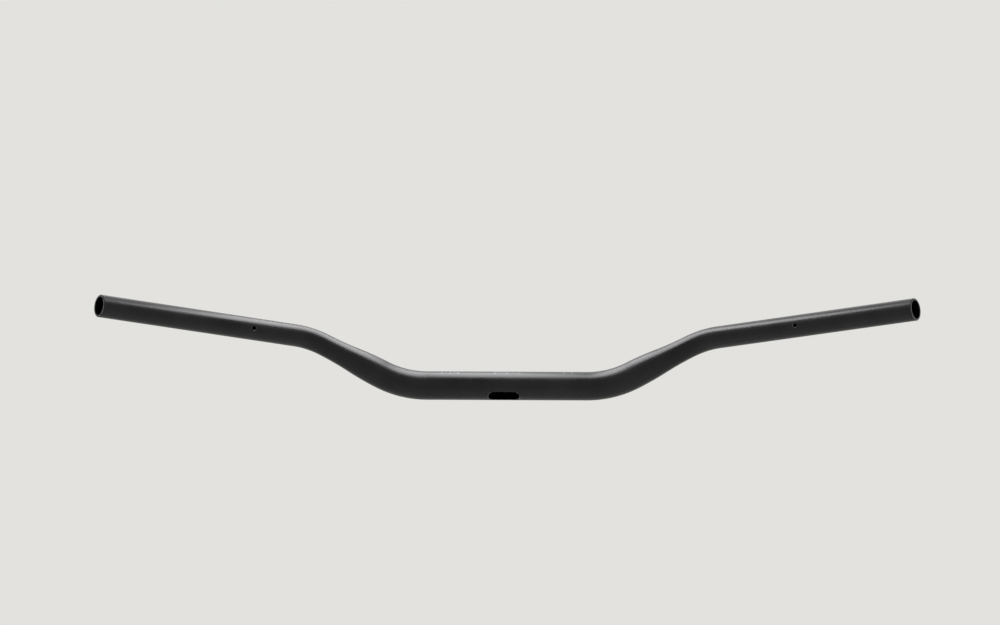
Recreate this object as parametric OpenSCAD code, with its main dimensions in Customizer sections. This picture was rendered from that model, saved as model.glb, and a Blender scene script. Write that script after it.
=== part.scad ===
// Riser handlebar for a bicycle: one bent tube that is thick at the stem and thin at the grips.
// Each side runs straight, bends up, tapers along the riser, bends back and out, and ends in a grip.
// X is to the rider's right, Y is forward and Z is up, in millimetres.
// The origin is the middle of the stem seat, on the axis of the tube.

/* [Tube] */
// Outside diameter at the stem seat
seat_d = 28.6; // [25.4:0.1:35]
// Outside diameter at the grips
grip_d = 22.2; // [22:0.1:24]
// Wall at the stem seat
seat_wall = 2.8; // [2:0.1:4]
// Wall at the grips
grip_wall = 2.1; // [1.6:0.1:3]

/* [Bends] */
// Length of the straight stem seat between the two lower bends
seat_len = 160; // [110:1:200]
// Centreline radius of the lower bends
lower_r = 100; // [60:1:160]
// Angle of the risers above the horizontal
riser_angle = 27; // [10:0.5:45]
// Length of the straight riser, which holds the taper
riser_len = 64; // [40:1:120]
// Centreline radius of the upper bends
upper_r = 52; // [40:1:120]
// Angle at which the grips rise outwards
upsweep = 7.5; // [0:0.5:12]
// Angle at which the grips turn back to the rider
backsweep = 31; // [5:0.5:45]
// Length of the straight grips
grip_len = 220; // [140:1:260]

/* [Cable port] */
// Length of the port along the bar
port_len = 31; // [16:0.5:45]
// Width of the port across the bar
port_w = 12; // [6:0.5:16]
// How far the middle of the port lies to the right of the middle of the bar
port_x = -3; // [-20:0.5:20]
// Direction of the port below the horizontal, towards the rider
port_angle = 50; // [0:1:90]
// Width of the edge break at the port's rounded ends
port_break = 0.8; // [0.3:0.1:1.2]

/* [Wire holes] */
// Diameter of the hole in each grip for a control wire
wire_d = 4; // [3:0.5:6]
// Distance of the left hole from the end of its grip
left_wire_out = 167; // [60:1:200]
// Distance of the right hole from the end of its grip
right_wire_out = 128; // [60:1:200]
// Direction of the holes above the horizontal, towards the rider
wire_angle = 12; // [-60:1:60]
// Width of the countersink around a wire hole
wire_break = 0.5; // [0.2:0.1:1]

/* [Bar ends] */
// Chamfer around the outside of each end
end_chamfer = 0.6; // [0.2:0.1:1]

/* [Hidden] */
$fn = 96;
// Segments of the large circles behind the taper's S curve
arc_fn = 360;
// How far a straight piece reaches into the bend beside it
lap = 0.5;
// The bends are this much thicker and their bores wider, so that a straight piece ends inside them
step = 0.05;
seat_r = seat_d / 2;
grip_r = grip_d / 2;
seat_bore = seat_r - seat_wall;
grip_bore = grip_r - grip_wall;
// Where the seam of the round surfaces runs, from straight below the tube forward, clear of the port
seam = port_angle - 22.5;

// The upper bend turns the tube from the riser's direction to the grip's.
// Its angle and its roll about the riser follow from both directions.
along = cos(riser_angle) * cos(upsweep) * cos(backsweep) + sin(riser_angle) * sin(upsweep);
back = cos(upsweep) * sin(backsweep);
down = sin(riser_angle) * cos(upsweep) * cos(backsweep) - cos(riser_angle) * sin(upsweep);
upper_angle = acos(along);
upper_roll = atan2(back, -down);

// A bent rod that starts along X and turns up, in a plane that has been rolled about X.
// Its section is rolled back, so the seam of the round surface runs on from piece to piece.
module bend(radius, angle, r, roll) {
    translate([0, 0, radius])
        rotate([90, 90, 0])
            rotate_extrude(angle = angle)
                translate([radius, 0])
                    rotate(roll - seam)
                        circle(r = r + step);
}

// Moves what follows to the far end of a bend
module after_bend(radius, angle) {
    translate([radius * sin(angle), 0, radius * (1 - cos(angle))])
        rotate([0, -angle, 0])
            children();
}

// The area beside the Y axis and under an S curve of two tangent arcs.
// The curve falls from the first radius to the second and leaves both ends along the tube.
module ogee(length, from_r, to_r) {
    fall = from_r - to_r;
    arc_r = (length * length + fall * fall) / (4 * fall);
    half = length / 2 + lap;
    // the crown, under the first arc
    intersection() {
        translate([0, -lap])
            square([seat_d, half]);
        translate([from_r - arc_r, 0])
            circle(r = arc_r, $fn = arc_fn);
    }
    // the foot, outside the second arc
    difference() {
        translate([0, length / 2])
            square([seat_d, half]);
        translate([to_r + arc_r, length])
            circle(r = arc_r, $fn = arc_fn);
    }
}

// Moves what follows to the start of the riser, with X up along it
module at_riser() {
    translate([seat_len / 2, 0, 0])
        after_bend(lower_r, riser_angle)
            children();
}

// Moves what follows to the start of the upper bend, which then turns up in its own plane
module at_upper_bend() {
    at_riser()
        translate([riser_len, 0, 0])
            rotate([upper_roll, 0, 0])
                children();
}

// Moves what follows to the start of the right grip, with X out along it and Z nearly up
module at_grip() {
    at_upper_bend()
        after_bend(upper_r, upper_angle)
            rotate([-upper_roll, 0, 0])
                children();
}

// The whole run of the tube as a solid rod, for its outside or for its bore.
// The children give the section of the grip.
module run(at_seat_r, at_grip_r) {
    translate([-seat_len / 2 - lap, 0, 0])
        rotate([0, 90, 0])
            rotate(seam)
                cylinder(r = at_seat_r, h = seat_len + 2 * lap);
    for (side = [0, 1])
        mirror([side, 0, 0]) {
            translate([seat_len / 2, 0, 0])
                bend(lower_r, riser_angle, at_seat_r, 0);
            at_riser()
                rotate([0, 90, 0])
                    rotate(seam)
                        rotate_extrude()
                            ogee(riser_len, at_seat_r, at_grip_r);
            at_upper_bend()
                bend(upper_r, upper_angle, at_grip_r, upper_roll);
            at_grip()
                rotate([0, 90, 0])
                    rotate(seam)
                        rotate_extrude()
                            children();
        }
}

// Half the section of the grip's outside, with a chamfer around its end
module grip_section() {
    polygon([
        [0, -lap],
        [grip_r, -lap],
        [grip_r, grip_len - end_chamfer],
        [grip_r - end_chamfer, grip_len],
        [0, grip_len]
    ]);
}

// Half the section of the grip's bore, which runs past the open end
module bore_section() {
    translate([0, -lap])
        square([grip_bore, grip_len + 2 * lap]);
}

// The cutter for the cable port, along Z from the tube's axis out: a slot with a broken edge
module port_cutter() {
    half_w = port_w / 2;
    run = port_len - port_w;
    break_z = seat_r - port_break;
    translate([-run / 2, -half_w, 0])
        cube([run, port_w, seat_d]);
    for (side = [-1, 1])
        translate([side * run / 2, 0, 0]) {
            cylinder(r = half_w, h = seat_d);
            translate([0, 0, break_z])
                cylinder(r1 = half_w, r2 = half_w + seat_r, h = seat_r);
        }
}

// The cutter for a wire hole, along Z from the grip's axis out
module wire_cutter() {
    hole_r = wire_d / 2;
    cylinder(r = hole_r, h = grip_d);
    translate([0, 0, grip_r - wire_break])
        cylinder(r1 = hole_r, r2 = hole_r + grip_r, h = grip_r);
}

// The whole bar
module handlebar() {
    color("#1b1b1d")
        difference() {
            run(seat_r, grip_r)
                grip_section();
            run(seat_bore, grip_bore)
                bore_section();
            translate([port_x, 0, 0])
                rotate([90 + port_angle, 0, 0])
                    port_cutter();
            at_grip()
                translate([grip_len - right_wire_out, 0, 0])
                    rotate([90 - wire_angle, 0, 0])
                        wire_cutter();
            mirror([1, 0, 0])
                at_grip()
                    translate([grip_len - left_wire_out, 0, 0])
                        rotate([90 - wire_angle, 0, 0])
                            wire_cutter();
        }
}

handlebar();
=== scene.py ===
"""A riser handlebar for a bicycle, dressed in black anodised aluminium.

The bar is one bent tube: thick at the stem seat, swaged along the risers and thin at the grips.
Its skin is laid on the same centreline as the CAD solid, in the same frame, in metres.
"""

import logging
import math
from dataclasses import dataclass, field
from enum import Enum

import bpy
from mathutils import Matrix, Vector
from mathutils.geometry import delaunay_2d_cdt

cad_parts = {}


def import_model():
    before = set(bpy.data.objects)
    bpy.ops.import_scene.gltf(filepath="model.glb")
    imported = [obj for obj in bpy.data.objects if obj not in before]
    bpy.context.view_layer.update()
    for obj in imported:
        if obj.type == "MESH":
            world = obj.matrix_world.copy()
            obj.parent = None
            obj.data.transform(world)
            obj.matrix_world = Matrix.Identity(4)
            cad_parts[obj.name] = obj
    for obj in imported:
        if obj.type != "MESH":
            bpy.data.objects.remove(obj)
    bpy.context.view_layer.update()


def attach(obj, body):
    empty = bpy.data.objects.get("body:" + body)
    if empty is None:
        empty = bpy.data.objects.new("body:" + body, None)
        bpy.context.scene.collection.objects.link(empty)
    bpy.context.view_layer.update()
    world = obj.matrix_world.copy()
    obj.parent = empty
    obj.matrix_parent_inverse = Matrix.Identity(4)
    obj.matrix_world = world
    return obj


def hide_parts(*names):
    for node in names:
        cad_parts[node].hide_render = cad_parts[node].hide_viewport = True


LOG = logging.getLogger("handlebar")
MM = 0.001
# Passes that settle how wide a broken edge is on a round surface
BREAK_STEPS = 30
# Half the length, in millimetres, over which the swage's lean is measured
LEAN_STEP = 0.01
# Points of a flat outline closer than this, in millimetres, count as one
SAME_POINT = 1e-5
# A face whose area normal is shorter than this, in square metres, has no area
NO_AREA = 1e-12
# A noise texture stays between these values nearly everywhere
NOISE_RANGE = {"From_Min": 0.3, "From_Max": 0.7}


def linear(hex_colour: str) -> tuple[float, float, float, float]:
    """Turn an sRGB hex colour into the linear colour that a shader reads.

    Args:
        hex_colour: six hex digits, with or without a leading hash.

    Returns:
        Red, green, blue and an alpha of 1.
    """
    digits = hex_colour.lstrip("#")
    parts = [int(digits[i:i + 2], 16) / 255 for i in (0, 2, 4)]
    r, g, b = (c / 12.92 if c <= 0.04045 else ((c + 0.055) / 1.055) ** 2.4 for c in parts)
    return r, g, b, 1.0


def add_node(tree: bpy.types.NodeTree, kind: str, settings: dict | None = None, **inputs) -> bpy.types.Node:
    """Add a shader node with its settings, values and links.

    Args:
        tree: the material's or world's node tree.
        kind: the node's type.
        settings: attributes of the node itself, such as its operation.
        inputs: socket values or the sockets to link from. A name such as i0 is a socket's number,
            and an underscore in any other name stands for a space.

    Returns:
        The new node.
    """
    node = tree.nodes.new(kind)
    for name, value in (settings or {}).items():
        setattr(node, name, value)
    for name, value in inputs.items():
        numbered = name[0] == "i" and name[1:].isdigit()
        socket = node.inputs[int(name[1:])] if numbered else node.inputs[name.replace("_", " ")]
        if isinstance(value, bpy.types.NodeSocket):
            tree.links.new(value, socket)
        else:
            socket.default_value = value
    return node


def new_material(name: str) -> tuple[bpy.types.Material, bpy.types.NodeTree]:
    """Start a material with an empty node tree.

    Args:
        name: what the material is.

    Returns:
        The material and its tree.
    """
    material = bpy.data.materials.new(name)
    material.use_nodes = True
    material.node_tree.nodes.clear()
    return material, material.node_tree


def encloses(outline: list[Vector], point: Vector) -> bool:
    """Find whether a closed outline goes round a point.

    Args:
        outline: its corners in a plane, in order.
        point: a point of that plane.

    Returns:
        True where it does.
    """
    inside = False
    for a, b in zip(outline, outline[1:] + outline[:1]):
        crosses = (a.y > point.y) != (b.y > point.y)
        if crosses and point.x < a.x + (point.y - a.y) / (b.y - a.y) * (b.x - a.x):
            inside = not inside
    return inside


class Side(Enum):
    """The two halves of the bar, as the sign of X."""

    LEFT = -1
    RIGHT = 1


@dataclass(frozen=True)
class Station:
    """One place on the centreline, with the directions of its cross-section.

    down points straight down at the middle of the bar and is carried along the bends without twist.
    fore points forward there and is carried in the same way.
    """

    place: Vector
    down: Vector
    fore: Vector

    def at(self, angle: float, radius: float) -> Vector:
        """The point at this angle from down towards fore, this far from the centreline."""
        return self.place + radius * self.outward(angle)

    def outward(self, angle: float) -> Vector:
        """The direction away from the centreline at this angle."""
        return math.cos(angle) * self.down + math.sin(angle) * self.fore


@dataclass(frozen=True)
class Centreline:
    """The line that the tube is bent along, for the right half; the left half mirrors it.

    Lengths are in millimetres and angles in degrees.
    """

    seat_half: float = 80.0
    lower_r: float = 100.0
    riser_angle: float = 27.0
    riser_len: float = 64.0
    upper_r: float = 52.0
    upsweep: float = 7.5
    backsweep: float = 31.0
    grip_len: float = 220.0

    @property
    def riser_way(self) -> Vector:
        """The direction of the riser."""
        a = math.radians(self.riser_angle)
        return Vector((math.cos(a), 0.0, math.sin(a)))

    @property
    def grip_way(self) -> Vector:
        """The direction of the grip, which rises and turns back."""
        up, back = math.radians(self.upsweep), math.radians(self.backsweep)
        return Vector((math.cos(up) * math.cos(back), -math.cos(up) * math.sin(back), math.sin(up)))

    @property
    def marks(self) -> tuple[float, float, float, float, float]:
        """Add up how far along the bar each stretch ends.

        Returns:
            The ends of the seat, the lower bend, the riser, the upper bend and the grip.
        """
        seat = self.seat_half
        lower = seat + self.lower_r * math.radians(self.riser_angle)
        riser = lower + self.riser_len
        upper = riser + self.upper_r * self.riser_way.angle(self.grip_way)
        return seat, lower, riser, upper, upper + self.grip_len

    @property
    def end(self) -> float:
        """How far along the bar its end is."""
        return self.marks[-1]

    def station(self, run: float) -> Station:
        """Find the place and the section's directions at a distance along the bar.

        Args:
            run: distance from the middle in millimetres, negative on the left.

        Returns:
            The station, in millimetres.
        """
        seat, lower, riser, upper, _ = self.marks
        s = abs(run)
        way = Vector((1.0, 0.0, 0.0))
        place = way * min(s, seat)
        down, fore = Vector((0.0, 0.0, -1.0)), Vector((0.0, 1.0, 0.0))
        for start, end, radius, onward in (
            (seat, lower, self.lower_r, self.riser_way),
            (riser, upper, self.upper_r, self.grip_way),
        ):
            if s <= start:
                break
            if start == riser:
                place = place + way * (riser - lower)
            axis = way.cross(onward).normalized()
            turn = (min(s, end) - start) / radius
            inward = axis.cross(way)
            place = place + radius * (math.sin(turn) * way + (1 - math.cos(turn)) * inward)
            rotation = Matrix.Rotation(turn, 3, axis)
            way, down, fore = rotation @ way, rotation @ down, rotation @ fore
        if lower < s <= riser:
            place = place + way * (s - lower)
        elif s > upper:
            place = place + way * (s - upper)
        if run < 0:
            place, down, fore = (Vector((-v.x, v.y, v.z)) for v in (place, down, fore))
        return Station(place, down, fore)


@dataclass(frozen=True)
class Swage:
    """How a radius falls along the riser: two tangent arcs, from the seat's radius to the grip's."""

    seat: float
    grip: float
    start: float
    length: float

    def radius(self, run: float) -> float:
        """Find the radius at a distance along the bar.

        Args:
            run: distance from the middle in millimetres, negative on the left.

        Returns:
            The radius in millimetres.
        """
        t = min(max(abs(run) - self.start, 0.0), self.length)
        fall = self.seat - self.grip
        arc = (self.length ** 2 + fall ** 2) / (4 * fall)
        if t <= self.length / 2:
            return self.seat - arc + math.sqrt(arc ** 2 - t ** 2)
        return self.grip + arc - math.sqrt(arc ** 2 - (self.length - t) ** 2)


@dataclass(frozen=True)
class Hole:
    """A hole through one wall: a slot with round ends, or a round hole where its run is 0.

    at is its distance from the middle of the bar and angle its direction from straight down. half is half
    its width, run the length between the centres of its round ends, and end_steps the points on half a
    turn. The cutter's broken edge is a cone that starts break_depth below the top of the surface, and the
    deburring tool takes least_break elsewhere. Lengths are in millimetres and angles in radians.
    """

    at: float
    angle: float
    half: float
    run: float
    break_depth: float
    least_break: float
    end_steps: int

    def turns(self) -> list[tuple[int, float]]:
        """List the points around the hole.

        Returns:
            The round end that each point belongs to, as a sign, and its angle there.
        """
        if not self.run:
            return [(0, math.pi * k / self.end_steps) for k in range(2 * self.end_steps)]
        return [
            (side, math.pi * k / self.end_steps - side * math.pi / 2)
            for side in (1, -1)
            for k in range(self.end_steps + 1)
        ]

    def widened(self, turn: float, radius: float) -> tuple[float, float]:
        """Find how far the broken edge reaches on the surface, and how deep.

        Args:
            turn: the angle around the round end.
            radius: the tube's outer radius there.

        Returns:
            The half width at the surface and the distance from the centreline at which the break ends.
        """
        wide = self.half
        for _ in range(BREAK_STEPS):
            height = math.sqrt(radius ** 2 - (wide * math.sin(turn)) ** 2)
            wide = self.half + max(self.least_break, height - (radius - self.break_depth))
        wall_top = math.sqrt(radius ** 2 - (self.half * math.sin(turn)) ** 2)
        return wide, min(radius - self.break_depth, wall_top - self.least_break)

    def holds(self, along: float, across: float, grow: float) -> bool:
        """Whether a point of the cutter's own plane is in the hole, grown by so many millimetres."""
        beyond = max(abs(along) - self.run / 2, 0.0)
        return math.hypot(beyond, across) < self.half + grow


@dataclass(frozen=True)
class RimPoint:
    """A point of a hole's outline: its distance along the bar, its angle from down and its number."""

    run: float
    angle: float
    number: int


@dataclass(frozen=True)
class Rim:
    """The three outlines of a hole: on the outside, at the foot of the broken edge and on the bore."""

    top: list[RimPoint]
    foot: list[RimPoint]
    bottom: list[RimPoint]


class Face(Enum):
    """The surfaces of the tube, each with its own way of shading and its own finish."""

    OUTSIDE = 0
    BORE = 1
    EDGE = 2


@dataclass
class Shell:
    """A mesh in the making: points with their place on the unbent tube, and faces with their normals."""

    points: list[Vector] = field(default_factory=list)
    straight: list[tuple[float, float, float]] = field(default_factory=list)
    worn: list[float] = field(default_factory=list)
    faces: list[tuple[int, ...]] = field(default_factory=list)
    normals: list[Vector] = field(default_factory=list)
    kinds: list[int] = field(default_factory=list)

    def point(self, station: Station, run: float, angle: float, radius: float, worn: float = 0.0) -> int:
        """Add a point of the bar.

        Args:
            station: the place on the centreline, in millimetres.
            run: its distance from the middle.
            angle: the point's angle from down.
            radius: its distance from the centreline.
            worn: how much of the finish an edge has lost there, from 0 to 1.

        Returns:
            The point's number.
        """
        self.points.append(station.at(angle, radius) * MM)
        self.straight.append((run, radius * math.sin(angle), -radius * math.cos(angle)))
        self.worn.append(worn)
        return len(self.points) - 1

    def face(self, corners: list[int], normals: list[Vector] | None, kind: Face) -> None:
        """Add a face, turned to agree with its normals.

        Args:
            corners: the numbers of its points.
            normals: a normal for each corner, or None for a flat face that keeps its order.
            kind: the surface that it belongs to.
        """
        flat = self.flat_normal(corners)
        if flat.length < NO_AREA:
            return
        flat.normalize()
        if normals is None:
            normals = [flat] * len(corners)
        elif flat.dot(sum(normals, Vector())) < 0:
            corners, normals = corners[::-1], normals[::-1]
        self.faces.append(tuple(corners))
        self.normals.extend(normals)
        self.kinds.append(kind.value)

    def flat_normal(self, corners: list[int]) -> Vector:
        """The area normal of a face by its points."""
        p = [self.points[c] for c in corners]
        return sum((p[i].cross(p[(i + 1) % len(p)]) for i in range(len(p))), Vector())

    def to_object(self, name: str, materials: list[bpy.types.Material]) -> bpy.types.Object:
        """Make the Blender object.

        Args:
            name: the piece's name.
            materials: one for each kind of face.

        Returns:
            The object, linked to the scene.
        """
        used = sorted({corner for corners in self.faces for corner in corners})
        number = {old: new for new, old in enumerate(used)}
        mesh = bpy.data.meshes.new(name)
        mesh.from_pydata(
            [self.points[c] for c in used], [], [[number[c] for c in corners] for corners in self.faces]
        )
        for material in materials:
            mesh.materials.append(material)
        mesh.polygons.foreach_set("material_index", self.kinds)
        mesh.polygons.foreach_set("use_smooth", [True] * len(mesh.polygons))
        straight = mesh.attributes.new("straight", "FLOAT_VECTOR", "POINT")
        straight.data.foreach_set("vector", [x for c in used for x in self.straight[c]])
        worn = mesh.attributes.new("worn", "FLOAT", "POINT")
        worn.data.foreach_set("value", [self.worn[c] for c in used])
        mesh.normals_split_custom_set([tuple(n) for n in self.normals])
        mesh.update()
        piece = bpy.data.objects.new(name, mesh)
        bpy.context.scene.collection.objects.link(piece)
        return piece


@dataclass(frozen=True)
class EtchedMark:
    """A block of fine lines that a laser has drawn across the top of the seat, to centre a clamp by.

    first, last and pitch are in millimetres along the bar. One line in long_every is longer.
    """

    first: float
    last: float
    pitch: float
    long_every: int


@dataclass(frozen=True)
class BlastedAnodisedAluminium:
    """Anodised aluminium, black, on a tube that was drawn, bent and blasted with fine glass beads.

    The blast gives an even satin grain and spreads the highlight to a soft band. The dyed oxide reflects
    about as much as a dark lacquer, almost neutral. Drawing leaves faint lines along the tube under the
    blast, bending and swaging leave it very slightly wavy, and sharp corners wear to grey.
    """

    colour: str = "#39393a"
    bare: str = "#9a9c9f"
    roughness: float = 0.34
    roughness_spread: float = 0.04
    grain_mm: float = 0.9  # beads of 0.1 mm are too fine to show at a pixel per millimetre
    grain_height_mm: float = 0.016
    line_mm: float = 1.4  # lines of 0.1 mm are too fine to show
    line_height_mm: float = 0.006
    wave_mm: float = 38.0
    wave_height_mm: float = 0.07
    line_stretch: float = 0.02
    shade_low: float = 0.88
    shade_high: float = 1.14
    patch_mm: float = 2.2
    worn_from: float = 0.42
    worn_full: float = 0.62
    worn_most: float = 0.35
    etch_width_mm: float = 0.9  # a laser's line of 0.1 to 0.3 mm is too fine to show
    etch_angle: float = -0.26  # radians from the top of the tube, less than 0 towards the rider
    etch_reach: float = 0.17  # radians to each side of that
    etch_long_reach: float = 0.3
    etch_strength: float = 0.22
    marks: tuple[EtchedMark, ...] = ()

    def material(self) -> bpy.types.Material:
        """Build the material from its nodes.

        Returns:
            The material.
        """
        material, tree = new_material("black_anodised_blasted_aluminium")
        place = add_node(tree, "ShaderNodeAttribute", {"attribute_name": "straight"}).outputs["Vector"]
        worn = add_node(tree, "ShaderNodeAttribute", {"attribute_name": "worn"}).outputs["Fac"]
        grain = add_node(
            tree, "ShaderNodeTexNoise", Vector=place, Scale=1 / self.grain_mm, Detail=3.0, Roughness=0.6
        )
        along = add_node(
            tree, "ShaderNodeVectorMath", {"operation": "MULTIPLY"}, i0=place,
            i1=(self.line_stretch, 1.0, 1.0),
        )
        lines = add_node(
            tree, "ShaderNodeTexNoise", Vector=along.outputs[0], Scale=1 / self.line_mm, Detail=2.0
        )
        wave = add_node(
            tree, "ShaderNodeTexNoise", Vector=place, Scale=1 / self.wave_mm, Detail=4.0, Roughness=0.5
        )

        # the satin varies a little with handling and with the blast, and more finely with the grain
        spread = add_node(
            tree, "ShaderNodeMapRange", Value=wave.outputs["Fac"], **NOISE_RANGE,
            To_Min=self.roughness - self.roughness_spread, To_Max=self.roughness + self.roughness_spread,
        )
        rough = add_node(
            tree, "ShaderNodeMath", {"operation": "MULTIPLY_ADD"}, i0=grain.outputs["Fac"],
            i1=self.roughness_spread * 2, i2=spread.outputs[0],
        )
        rough = add_node(
            tree, "ShaderNodeMath", {"operation": "SUBTRACT"}, i0=rough.outputs[0], i1=self.roughness_spread
        )
        shade = add_node(
            tree, "ShaderNodeMapRange", Value=wave.outputs["Fac"], **NOISE_RANGE,
            To_Min=self.shade_low, To_Max=self.shade_high,
        )
        black = add_node(
            tree, "ShaderNodeVectorMath", {"operation": "SCALE"}, i0=linear(self.colour)[:3],
            Scale=shade.outputs[0],
        )

        # the oxide thins at broken edges, where patches of it let the grey metal show
        patch = add_node(tree, "ShaderNodeTexNoise", Vector=place, Scale=1 / self.patch_mm, Detail=3.0)
        edge = add_node(tree, "ShaderNodeMath", {"operation": "MULTIPLY"}, i0=worn, i1=patch.outputs["Fac"])
        edge = add_node(
            tree, "ShaderNodeMapRange", Value=edge.outputs[0],
            From_Min=self.worn_from, From_Max=self.worn_full, To_Min=0.0, To_Max=self.worn_most,
        )
        bare = add_node(
            tree, "ShaderNodeMath", {"operation": "MAXIMUM"}, i0=edge.outputs[0], i1=self.etched(tree, place)
        )
        colour = add_node(
            tree, "ShaderNodeMix", {"data_type": "RGBA"}, i0=bare.outputs[0], i6=black.outputs[0],
            i7=linear(self.bare),
        )

        height = add_node(
            tree, "ShaderNodeMath", {"operation": "MULTIPLY"}, i0=wave.outputs["Fac"], i1=self.wave_height_mm
        )
        for noise, size in ((lines, self.line_height_mm), (grain, self.grain_height_mm)):
            height = add_node(
                tree, "ShaderNodeMath", {"operation": "MULTIPLY_ADD"}, i0=noise.outputs["Fac"], i1=size,
                i2=height.outputs[0],
            )
        bump = add_node(tree, "ShaderNodeBump", Height=height.outputs[0], Strength=1.0, Distance=MM)
        shader = add_node(
            tree, "ShaderNodeBsdfPrincipled", Base_Color=colour.outputs[2], Roughness=rough.outputs[0],
            Metallic=1.0, Normal=bump.outputs[0],
        )
        add_node(tree, "ShaderNodeOutputMaterial", Surface=shader.outputs[0])
        return material

    def etched(self, tree: bpy.types.NodeTree, place: bpy.types.NodeSocket) -> bpy.types.NodeSocket:
        """Add the nodes that draw the laser's lines on the top of the seat.

        Args:
            tree: the material's tree.
            place: the place on the unbent tube, in millimetres.

        Returns:
            A socket that gives how bare the metal is: the lines' strength on a line and 0 beside it.
        """
        def maths(operation: str, *values: float | bpy.types.NodeSocket) -> bpy.types.NodeSocket:
            """Work out one value from up to three."""
            inputs = {f"i{k}": value for k, value in enumerate(values)}
            return add_node(tree, "ShaderNodeMath", {"operation": operation}, **inputs).outputs[0]

        run, fore, height = add_node(tree, "ShaderNodeSeparateXYZ", Vector=place).outputs
        # the angle from the top of the tube, less than 0 towards the rider
        angle = maths("ARCTAN2", fore, height)
        drawn: float | bpy.types.NodeSocket = 0.0
        for mark in self.marks:
            middle, half = (mark.first + mark.last) / 2, (mark.last - mark.first) / 2
            here = maths("SUBTRACT", run, mark.first)
            line = maths("LESS_THAN", maths("PINGPONG", here, mark.pitch / 2), self.etch_width_mm / 2)
            long_half = mark.pitch * mark.long_every / 2
            long = maths("LESS_THAN", maths("PINGPONG", here, long_half), self.etch_width_mm)
            reach = maths("MULTIPLY_ADD", long, self.etch_long_reach - self.etch_reach, self.etch_reach)
            near = maths("COMPARE", angle, self.etch_angle, reach)
            inside = maths("COMPARE", run, middle, half + self.etch_width_mm / 2)
            drawn = maths("MAXIMUM", drawn, maths("MULTIPLY", maths("MULTIPLY", line, near), inside))
        return maths("MULTIPLY", drawn, self.etch_strength)


@dataclass(frozen=True)
class DrawnAnodisedBore:
    """The inside of the drawn tube, which the beads don't reach: anodised over the mandrel's long lines."""

    colour: str = "#2a2a2c"
    roughness: float = 0.48
    roughness_spread: float = 0.1
    line_mm: float = 0.8  # lines of 0.1 mm are too fine to show
    line_height_mm: float = 0.05
    line_stretch: float = 0.015

    def material(self) -> bpy.types.Material:
        """Build the material from its nodes.

        Returns:
            The material.
        """
        material, tree = new_material("black_anodised_drawn_bore")
        place = add_node(tree, "ShaderNodeAttribute", {"attribute_name": "straight"}).outputs["Vector"]
        along = add_node(
            tree, "ShaderNodeVectorMath", {"operation": "MULTIPLY"}, i0=place,
            i1=(self.line_stretch, 1.0, 1.0),
        )
        lines = add_node(
            tree, "ShaderNodeTexNoise", Vector=along.outputs[0], Scale=1 / self.line_mm, Detail=4.0,
            Roughness=0.6,
        )
        rough = add_node(
            tree, "ShaderNodeMapRange", Value=lines.outputs["Fac"], **NOISE_RANGE,
            To_Min=self.roughness - self.roughness_spread, To_Max=self.roughness + self.roughness_spread,
        )
        bump = add_node(
            tree, "ShaderNodeBump", Height=lines.outputs["Fac"], Strength=1.0,
            Distance=self.line_height_mm * MM,
        )
        shader = add_node(
            tree, "ShaderNodeBsdfPrincipled", Base_Color=linear(self.colour), Roughness=rough.outputs[0],
            Metallic=1.0, Normal=bump.outputs[0],
        )
        add_node(tree, "ShaderNodeOutputMaterial", Surface=shader.outputs[0])
        return material


@dataclass(frozen=True)
class CutAnodisedEdge:
    """Faces left by the saw, the milling cutter and the deburring tool, anodised with the rest.

    The tool's marks run round the tube's axis on the faced ends and along the wall of a milled hole, so
    they lie at even distances from the centreline. The sharpest corners show a little grey metal.
    """

    colour: str = "#3f3f42"
    bare: str = "#8c8e91"
    roughness: float = 0.26
    roughness_spread: float = 0.06
    tool_mark_mm: float = 0.45  # a finishing cut of 0.1 mm a turn is too fine to show
    tool_mark_height_mm: float = 0.012
    patch_mm: float = 3.0
    worn_from: float = 0.35
    worn_full: float = 0.65
    worn_most: float = 0.45

    def material(self) -> bpy.types.Material:
        """Build the material from its nodes.

        Returns:
            The material.
        """
        material, tree = new_material("black_anodised_machined_edge")
        place = add_node(tree, "ShaderNodeAttribute", {"attribute_name": "straight"}).outputs["Vector"]
        worn = add_node(tree, "ShaderNodeAttribute", {"attribute_name": "worn"}).outputs["Fac"]
        across = add_node(
            tree, "ShaderNodeVectorMath", {"operation": "MULTIPLY"}, i0=place, i1=(0.0, 1.0, 1.0)
        )
        distance = add_node(tree, "ShaderNodeVectorMath", {"operation": "LENGTH"}, i0=across.outputs[0])
        turn = add_node(
            tree, "ShaderNodeMath", {"operation": "MULTIPLY"}, i0=distance.outputs["Value"],
            i1=2 * math.pi / self.tool_mark_mm,
        )
        groove = add_node(tree, "ShaderNodeMath", {"operation": "SINE"}, i0=turn.outputs[0])
        patch = add_node(tree, "ShaderNodeTexNoise", Vector=place, Scale=1 / self.patch_mm, Detail=3.0)
        rough = add_node(
            tree, "ShaderNodeMapRange", Value=patch.outputs["Fac"], **NOISE_RANGE,
            To_Min=self.roughness - self.roughness_spread, To_Max=self.roughness + self.roughness_spread,
        )
        edge = add_node(tree, "ShaderNodeMath", {"operation": "MULTIPLY"}, i0=worn, i1=patch.outputs["Fac"])
        edge = add_node(
            tree, "ShaderNodeMapRange", Value=edge.outputs[0],
            From_Min=self.worn_from, From_Max=self.worn_full, To_Min=0.0, To_Max=self.worn_most,
        )
        colour = add_node(
            tree, "ShaderNodeMix", {"data_type": "RGBA"}, i0=edge.outputs[0], i6=linear(self.colour),
            i7=linear(self.bare),
        )
        bump = add_node(
            tree, "ShaderNodeBump", Height=groove.outputs[0], Strength=1.0,
            Distance=self.tool_mark_height_mm * MM,
        )
        shader = add_node(
            tree, "ShaderNodeBsdfPrincipled", Base_Color=colour.outputs[2], Roughness=rough.outputs[0],
            Metallic=1.0, Normal=bump.outputs[0],
        )
        add_node(tree, "ShaderNodeOutputMaterial", Surface=shader.outputs[0])
        return material


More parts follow.
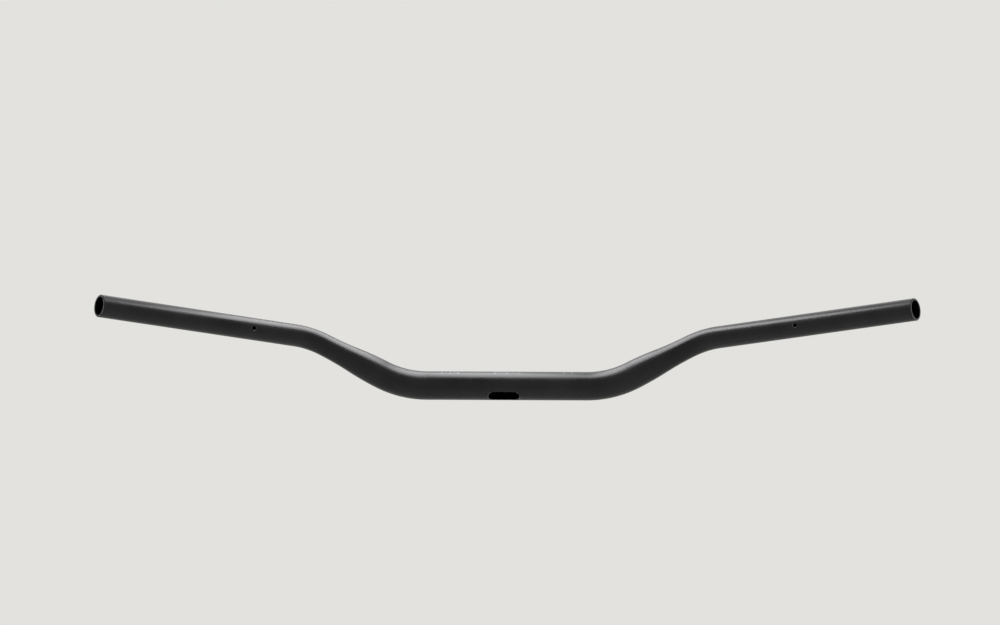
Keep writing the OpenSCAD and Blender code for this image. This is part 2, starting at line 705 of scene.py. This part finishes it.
@dataclass
class Handlebar:
    """The bent tube: its skin, its bore, its two open ends, the cable port and the two wire holes.

    Lengths are in millimetres and angles in radians. ring_steps is about how far apart the rings of points
    lie on the seat, the lower bend, the riser, the upper bend and the grip. Triangles fill the surface
    around a hole. They reach hole_clear beyond its broken edge along the bar, and hole_side and then
    hole_cells cells beyond its side around the bar. Ring points less than hole_gap from its broken edge
    are left out.
    """

    line: Centreline = field(default_factory=Centreline)
    seat_r: float = 14.3
    grip_r: float = 11.1
    seat_bore: float = 11.5
    grip_bore: float = 9.0
    inset: float = 0.01
    end_chamfer: float = 0.6
    bore_deburr: float = 0.25
    around: int = 96
    ring_steps: tuple[float, ...] = (4.0, 2.2, 2.0, 1.4, 5.0)
    port: Hole = Hole(
        at=-3.0, angle=math.radians(-40.0), half=6.0, run=19.0,
        break_depth=0.8, least_break=0.22, end_steps=20,
    )
    wire_r: float = 2.0
    wire_angle: float = math.radians(-102.0)
    wire_break: float = 0.5
    wire_least_break: float = 0.15
    wire_end_steps: int = 16
    right_wire_out: float = 128.0
    left_wire_out: float = 167.0
    hole_clear: float = 2.5
    hole_side: float = 1.0
    hole_cells: float = 2.2
    hole_gap: float = 0.5
    chamfer_worn: float = 0.6
    mouth_worn: float = 0.8

    def __post_init__(self) -> None:
        """Work out the radii along the bar, a hair inside the solid's, and place the three holes."""
        start, end, length = self.line.marks[1], self.line.end, self.line.riser_len
        self.outer = Swage(self.seat_r - self.inset, self.grip_r - self.inset, start, length)
        self.bore = Swage(self.seat_bore + self.inset, self.grip_bore + self.inset, start, length)
        self.angles = [2 * math.pi * k / self.around for k in range(self.around)]
        self.holes = [
            self.port,
            self.wire_hole(end - self.right_wire_out),
            self.wire_hole(self.left_wire_out - end),
        ]

    def wire_hole(self, at: float) -> Hole:
        """Describe the wire hole at this distance from the middle of the bar."""
        return Hole(
            at=at, angle=self.wire_angle, half=self.wire_r, run=0.0, break_depth=self.wire_break,
            least_break=self.wire_least_break, end_steps=self.wire_end_steps,
        )

    def runs(self, ends: float) -> list[float]:
        """List the distances along the bar at which a surface has a ring of points.

        Args:
            ends: how far the last ring lies from the middle.

        Returns:
            The distances, closer together where the bar bends or swells.
        """
        half = [0.0]
        for stop, step in zip((*self.line.marks[:-1], ends), self.ring_steps):
            last = half[-1]
            count = round((stop - last) / step)
            half += [last + (stop - last) * k / count for k in range(1, count + 1)]
        return [-s for s in half[:0:-1]] + half

    def surface(self, shell: Shell, kind: Face, ends: float, rims: list[Rim]) -> list[list[int]]:
        """Lay a surface of the tube as rings of points and faces, open where a hole is.

        Args:
            shell: the mesh in the making.
            kind: the outside or the bore.
            ends: how far the last ring lies from the middle.
            rims: the outlines of the holes.

        Returns:
            The rings, each a list of point numbers.
        """
        swage, out = (self.outer, 1.0) if kind is Face.OUTSIDE else (self.bore, -1.0)
        runs = self.runs(ends)
        stations = [self.line.station(s) for s in runs]
        rings = [
            [shell.point(station, s, a, swage.radius(s)) for a in self.angles]
            for station, s in zip(stations, runs)
        ]

        def normal(i: int, k: int) -> Vector:
            """The surface's normal at a point of a ring, leaning with the swage."""
            lean = (swage.radius(runs[i] + LEAN_STEP) - swage.radius(runs[i] - LEAN_STEP)) / (2 * LEAN_STEP)
            way = stations[i].down.cross(stations[i].fore)
            return ((stations[i].outward(self.angles[k]) - way * lean) * out).normalized()

        taken: set[tuple[int, int]] = set()
        for hole, rim in zip(self.holes, rims):
            outline = rim.top if kind is Face.OUTSIDE else rim.bottom
            taken |= self.around_hole(shell, hole, outline, rings, runs, kind)
        for i in range(len(runs) - 1):
            for k in range(self.around):
                if (i, k) in taken:
                    continue
                n = (k + 1) % self.around
                corners = [(i, k), (i, n), (i + 1, n), (i + 1, k)]
                shell.face([rings[p][q] for p, q in corners], [normal(p, q) for p, q in corners], kind)
        return rings

    def around_hole(
        self,
        shell: Shell,
        hole: Hole,
        rim: list[RimPoint],
        rings: list[list[int]],
        runs: list[float],
        kind: Face,
    ) -> set[tuple[int, int]]:
        """Fill the cells around a hole with triangles that end on its outline.

        Args:
            shell: the mesh in the making.
            hole: the hole.
            rim: its outline on this surface.
            rings: the rings of points of this surface.
            runs: the distance along the bar of each ring.
            kind: the outside or the bore.

        Returns:
            The cells that are done.
        """
        swage, out = (self.outer, 1.0) if kind is Face.OUTSIDE else (self.bore, -1.0)
        r = swage.radius(hole.at)
        step = 2 * math.pi / self.around
        clear = hole.half + hole.break_depth + self.hole_clear
        first = max(i for i, s in enumerate(runs) if s <= hole.at - hole.run / 2 - clear)
        last = min(i for i, s in enumerate(runs) if s >= hole.at + hole.run / 2 + clear)
        spread = math.asin((hole.half + self.hole_side) / r) + self.hole_cells * step
        low = math.floor((hole.angle - spread) / step)
        high = math.ceil((hole.angle + spread) / step)
        points = list(rim)
        for i in range(first, last + 1):
            for k in range(low, high + 1):
                across = r * math.sin(k * step - hole.angle)
                on_border = i in (first, last) or k in (low, high)
                if on_border or not hole.holds(runs[i] - hole.at, across, hole.break_depth + self.hole_gap):
                    points.append(RimPoint(runs[i], k * step, rings[i][k % self.around]))
        flat = [Vector((p.run, p.angle * r)) for p in points]
        edges = [(k, (k + 1) % len(rim)) for k in range(len(rim))]
        _, _, triangles, origin, _, _ = delaunay_2d_cdt(flat, edges, [], 0, SAME_POINT)
        for triangle in triangles:
            ids = [origin[c][0] for c in triangle]
            if encloses(flat[:len(rim)], sum((flat[c] for c in ids), Vector((0.0, 0.0))) / 3):
                continue
            normals = [self.line.station(points[c].run).outward(points[c].angle) * out for c in ids]
            shell.face([points[c].number for c in ids], normals, kind)
        return {(i, k % self.around) for i in range(first, last) for k in range(low, high)}

    def rim(self, shell: Shell, hole: Hole) -> Rim:
        """Add the points of a hole's three outlines.

        Args:
            shell: the mesh in the making.
            hole: the hole.

        Returns:
            The outlines, point by point around the hole.
        """
        r_out, r_in = self.outer.radius(hole.at), self.bore.radius(hole.at)
        rim = Rim([], [], [])
        for side, turn in hole.turns():
            wide, foot = hole.widened(turn, r_out)
            for row, half, radius, worn in (
                (rim.top, wide, r_out, 1.0),
                (rim.foot, hole.half, None, 1.0),
                (rim.bottom, hole.half, r_in, 0.0),
            ):
                run = hole.at + side * hole.run / 2 + half * math.cos(turn)
                across = half * math.sin(turn)
                reach = radius or math.hypot(foot, across)
                angle = hole.angle + math.asin(across / reach)
                row.append(RimPoint(run, angle, shell.point(self.line.station(run), run, angle, reach, worn)))
        return rim

    def hole_walls(self, shell: Shell, hole: Hole, rim: Rim) -> None:
        """Join a hole's outlines: the broken edge on top and the straight wall below it.

        Args:
            shell: the mesh in the making.
            hole: the hole.
            rim: its outlines.
        """
        station = self.line.station(hole.at)
        out, across = station.outward(hole.angle), station.outward(hole.angle + math.pi / 2)
        along = station.down.cross(station.fore)
        inward = [-(math.cos(turn) * along + math.sin(turn) * across) for _, turn in hole.turns()]
        count = len(inward)
        for k in range(count):
            n = (k + 1) % count
            corners = (k, n, n, k)
            for upper, lower, lean in ((rim.top, rim.foot, 1.0), (rim.foot, rim.bottom, 0.0)):
                ring = [upper[k].number, upper[n].number, lower[n].number, lower[k].number]
                shell.face(ring, [(inward[j] + lean * out).normalized() for j in corners], Face.EDGE)

    def close_end(self, shell: Shell, side: Side, outside: list[int], bore: list[int]) -> None:
        """Finish an open end: the chamfer, the faced ring and the deburred mouth of the bore.

        Args:
            shell: the mesh in the making.
            side: which end.
            outside: the last ring of the outside.
            bore: the last ring of the bore.
        """
        end = (self.line.end - self.inset) * side.value
        station = self.line.station(end)
        way = (station.place - self.line.station(end - side.value).place).normalized()
        lip_r = self.grip_r - self.end_chamfer
        mouth_r = self.grip_bore + self.bore_deburr
        lip = [shell.point(station, end, a, lip_r, worn=1.0) for a in self.angles]
        mouth = [shell.point(station, end, a, mouth_r, worn=self.mouth_worn) for a in self.angles]
        for number in outside:
            shell.worn[number] = self.chamfer_worn
        for k in range(self.around):
            n = (k + 1) % self.around
            ways = [station.outward(self.angles[j]) for j in (k, n, n, k)]
            chamfer = [(w + way).normalized() for w in ways]
            deburred = [(way - w).normalized() for w in ways]
            shell.face([outside[k], outside[n], lip[n], lip[k]], chamfer, Face.EDGE)
            shell.face([lip[k], lip[n], mouth[n], mouth[k]], [way] * 4, Face.EDGE)
            shell.face([mouth[k], mouth[n], bore[n], bore[k]], deburred, Face.EDGE)

    def build(self, materials: list[bpy.types.Material]) -> bpy.types.Object:
        """Make the whole tube.

        Args:
            materials: the finishes of the outside, the bore and the cut edges.

        Returns:
            The piece, which stands for the CAD node.
        """
        shell = Shell()
        rims = [self.rim(shell, hole) for hole in self.holes]
        outside = self.surface(shell, Face.OUTSIDE, self.line.end - self.end_chamfer, rims)
        bore = self.surface(shell, Face.BORE, self.line.end - self.bore_deburr, rims)
        for hole, rim in zip(self.holes, rims):
            self.hole_walls(shell, hole, rim)
        self.close_end(shell, Side.LEFT, outside[0], bore[0])
        self.close_end(shell, Side.RIGHT, outside[-1], bore[-1])
        piece = shell.to_object("bent_tube", materials)
        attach(piece, "root")
        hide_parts("handlebar")
        return piece


@dataclass(frozen=True)
class SoftBox:
    """A lamp behind a white sheet that hangs above the bar and faces it.

    place and size, its width and depth, are in metres. radiance is how bright the sheet is, where 1 is
    white.
    """

    name: str
    place: tuple[float, float, float]
    size: tuple[float, float]
    radiance: float

    def hang(self, faces: Vector) -> None:
        """Hang the lamp.

        Args:
            faces: the point that the sheet is turned to.
        """
        light = bpy.data.lights.new(self.name, "AREA")
        light.shape = "RECTANGLE"
        light.size, light.size_y = self.size
        light.energy = self.radiance * math.pi * self.size[0] * self.size[1]
        lamp = bpy.data.objects.new(self.name, light)
        lamp.location = self.place
        lamp.rotation_euler = (faces - lamp.location).to_track_quat("-Z", "Y").to_euler()
        lamp.visible_camera = False
        bpy.context.scene.collection.objects.link(lamp)


@dataclass
class Studio:
    """A plain pale floor that turns up into a round wall, soft lamps, and a camera at the photograph's angle.

    Lengths are in metres and roll is in degrees. Where the lamps don't light the paper, it glows with painted
    light instead, and the glow is painted darker on the camera's side: it goes from pale_in_front there, at Y
    = -floor_r, to pale_behind beyond the bar, at Y = pale_y.
    """

    camera_at: tuple[float, float, float] = (-0.0072, -4.508, 0.0735)
    focal_px: float = 4500.0
    frame_px: float = 1000.0
    sensor_mm: float = 36.0
    roll: float = 0.25
    far_clip: float = 50.0
    floor_z: float = -0.42
    floor_middle_r: float = 0.6
    floor_r: float = 3.0
    turn_r: float = 1.2
    turn_steps: int = 16
    wall_height: float = 4.0
    around: int = 96
    pale: str = "#f0efec"
    # painted light: how brightly the paper glows away from the lamps, painted darker on the camera's side
    # than beyond the bar
    pale_behind: float = 0.88
    pale_in_front: float = 0.5
    pale_y: float = 2.4
    lit_r: float = 0.4
    unlit_r: float = 1.6
    room_light: float = 0.3
    soft_boxes: tuple[SoftBox, ...] = (
        SoftBox("soft_box_low", (-0.02, 0.07, 0.42), (0.19, 0.42), 8.4),
        SoftBox("soft_box_wide", (0.0, 0.4, 1.0), (1.6, 1.6), 1.0),
    )
    lamps_face: tuple[float, float, float] = (0.0, 0.0, 0.03)

    def room(self) -> None:
        """Make the floor and the wall round it as one sheet, with a round turn between them."""
        profile = [(self.floor_middle_r, self.floor_z), (self.floor_r, self.floor_z)]
        for k in range(1, self.turn_steps + 1):
            a = math.pi / 2 * k / self.turn_steps
            out, up = self.turn_r * math.sin(a), self.turn_r * (1 - math.cos(a))
            profile.append((self.floor_r + out, self.floor_z + up))
        profile.append((self.floor_r + self.turn_r, self.floor_z + self.wall_height))
        rings = len(profile)
        points = [(0.0, 0.0, self.floor_z)]
        faces = []
        for j in range(self.around):
            a = 2 * math.pi * j / self.around
            points += [(r * math.cos(a), r * math.sin(a), z) for r, z in profile]
            here, there = 1 + j * rings, 1 + (j + 1) % self.around * rings
            faces.append((0, here, there))
            faces += [(here + k, here + k + 1, there + k + 1, there + k) for k in range(rings - 1)]
        mesh = bpy.data.meshes.new("studio_room")
        mesh.from_pydata(points, [], faces)
        mesh.polygons.foreach_set("use_smooth", [True] * len(mesh.polygons))
        piece = bpy.data.objects.new("studio_room", mesh)
        bpy.context.scene.collection.objects.link(piece)
        mesh.materials.append(self.paper())

    def paper(self) -> bpy.types.Material:
        """Make the matt pale paper of the floor and the wall.

        Under the bar the lamps light it and it keeps the bar's shadow. Further out it glows in its own colour
        with painted light, for the eye and for reflections, brighter beyond the bar and painted darker on the
        camera's side of it. Seen from outside, it lets every ray through.

        Returns:
            The material.
        """
        material, tree = new_material("pale_paper_with_painted_glow")
        rays = add_node(tree, "ShaderNodeLightPath").outputs
        geometry = add_node(tree, "ShaderNodeNewGeometry").outputs
        y = add_node(tree, "ShaderNodeSeparateXYZ", Vector=geometry["Position"]).outputs["Y"]
        flat = add_node(
            tree, "ShaderNodeVectorMath", {"operation": "MULTIPLY"}, i0=geometry["Position"],
            i1=(1.0, 1.0, 0.0),
        )
        distance = add_node(tree, "ShaderNodeVectorMath", {"operation": "LENGTH"}, i0=flat.outputs[0])
        seen = add_node(
            tree, "ShaderNodeMath", {"operation": "MAXIMUM"}, i0=rays["Is Camera Ray"],
            i1=rays["Is Glossy Ray"],
        )
        seen = add_node(
            tree, "ShaderNodeMath", {"operation": "MAXIMUM"}, i0=seen.outputs[0],
            i1=rays["Is Transmission Ray"],
        )
        # painted light: the paper's glow for the eye and for reflections, painted darker on the camera's side
        # than beyond the bar
        painted_glow = add_node(
            tree, "ShaderNodeMapRange", {"interpolation_type": "SMOOTHSTEP"}, Value=y, From_Min=-self.floor_r,
            From_Max=self.pale_y, To_Min=self.pale_in_front, To_Max=self.pale_behind,
        )
        glow = add_node(
            tree, "ShaderNodeMix", {"data_type": "FLOAT"}, i0=seen.outputs[0], i2=self.room_light,
            i3=painted_glow.outputs[0],
        )
        matt = add_node(tree, "ShaderNodeBsdfDiffuse", Color=linear(self.pale))
        shine = add_node(tree, "ShaderNodeEmission", Color=linear(self.pale), Strength=glow.outputs[0])
        # near the bar the lamps light the matt paper; further out the painted glow stands in for their light
        far = add_node(
            tree, "ShaderNodeMapRange", {"interpolation_type": "SMOOTHSTEP"}, Value=distance.outputs["Value"],
            From_Min=self.lit_r, From_Max=self.unlit_r, To_Min=0.0, To_Max=1.0,
        )
        inside = add_node(
            tree, "ShaderNodeMixShader", i0=far.outputs[0], i1=matt.outputs[0], i2=shine.outputs[0]
        )
        clear = add_node(tree, "ShaderNodeBsdfTransparent")
        whole = add_node(
            tree, "ShaderNodeMixShader", i0=geometry["Backfacing"], i1=inside.outputs[0], i2=clear.outputs[0]
        )
        add_node(tree, "ShaderNodeOutputMaterial", Surface=whole.outputs[0])
        return material

    def world(self) -> None:
        """Fill the room from above with a low, even light."""
        world = bpy.data.worlds.new("studio_sky")
        bpy.context.scene.world = world
        world.use_nodes = True
        world.node_tree.nodes.clear()
        back = add_node(
            world.node_tree, "ShaderNodeBackground", Color=(1.0, 1.0, 1.0, 1.0), Strength=self.room_light
        )
        add_node(world.node_tree, "ShaderNodeOutputWorld", Surface=back.outputs[0])

    def camera(self) -> None:
        """Stand the camera level on the rider's side of the bar, as the photograph was taken."""
        data = bpy.data.cameras.new("camera")
        data.sensor_width = self.sensor_mm
        data.lens = self.focal_px / self.frame_px * data.sensor_width
        data.clip_end = self.far_clip
        camera = bpy.data.objects.new("camera", data)
        camera.location = self.camera_at
        turn = Matrix.Rotation(math.radians(90), 4, "X") @ Matrix.Rotation(math.radians(self.roll), 4, "Z")
        camera.rotation_euler = turn.to_euler()
        bpy.context.scene.collection.objects.link(camera)
        bpy.context.scene.camera = camera

    def build(self) -> None:
        """Set up the whole studio."""
        self.room()
        for box in self.soft_boxes:
            box.hang(Vector(self.lamps_face))
        self.world()
        self.camera()
        bpy.context.scene.view_settings.view_transform = "Standard"


def main() -> None:
    """Load the frame, build the bar and the studio, and report each piece."""
    logging.basicConfig(level=logging.INFO, format="%(name)s: %(message)s")
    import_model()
    marks = (
        EtchedMark(first=-65.0, last=-49.0, pitch=4.0, long_every=2),
        EtchedMark(first=-12.0, last=12.0, pitch=3.0, long_every=4),
        EtchedMark(first=57.0, last=65.0, pitch=4.0, long_every=2),
    )
    materials = [
        BlastedAnodisedAluminium(marks=marks).material(),
        DrawnAnodisedBore().material(),
        CutAnodisedEdge().material(),
    ]
    bar = Handlebar().build(materials)
    LOG.info("%s: %d points, %d faces", bar.name, len(bar.data.vertices), len(bar.data.polygons))
    Studio().build()
    LOG.info("studio: room, lamps and camera")


if __name__ == "__main__":
    main()
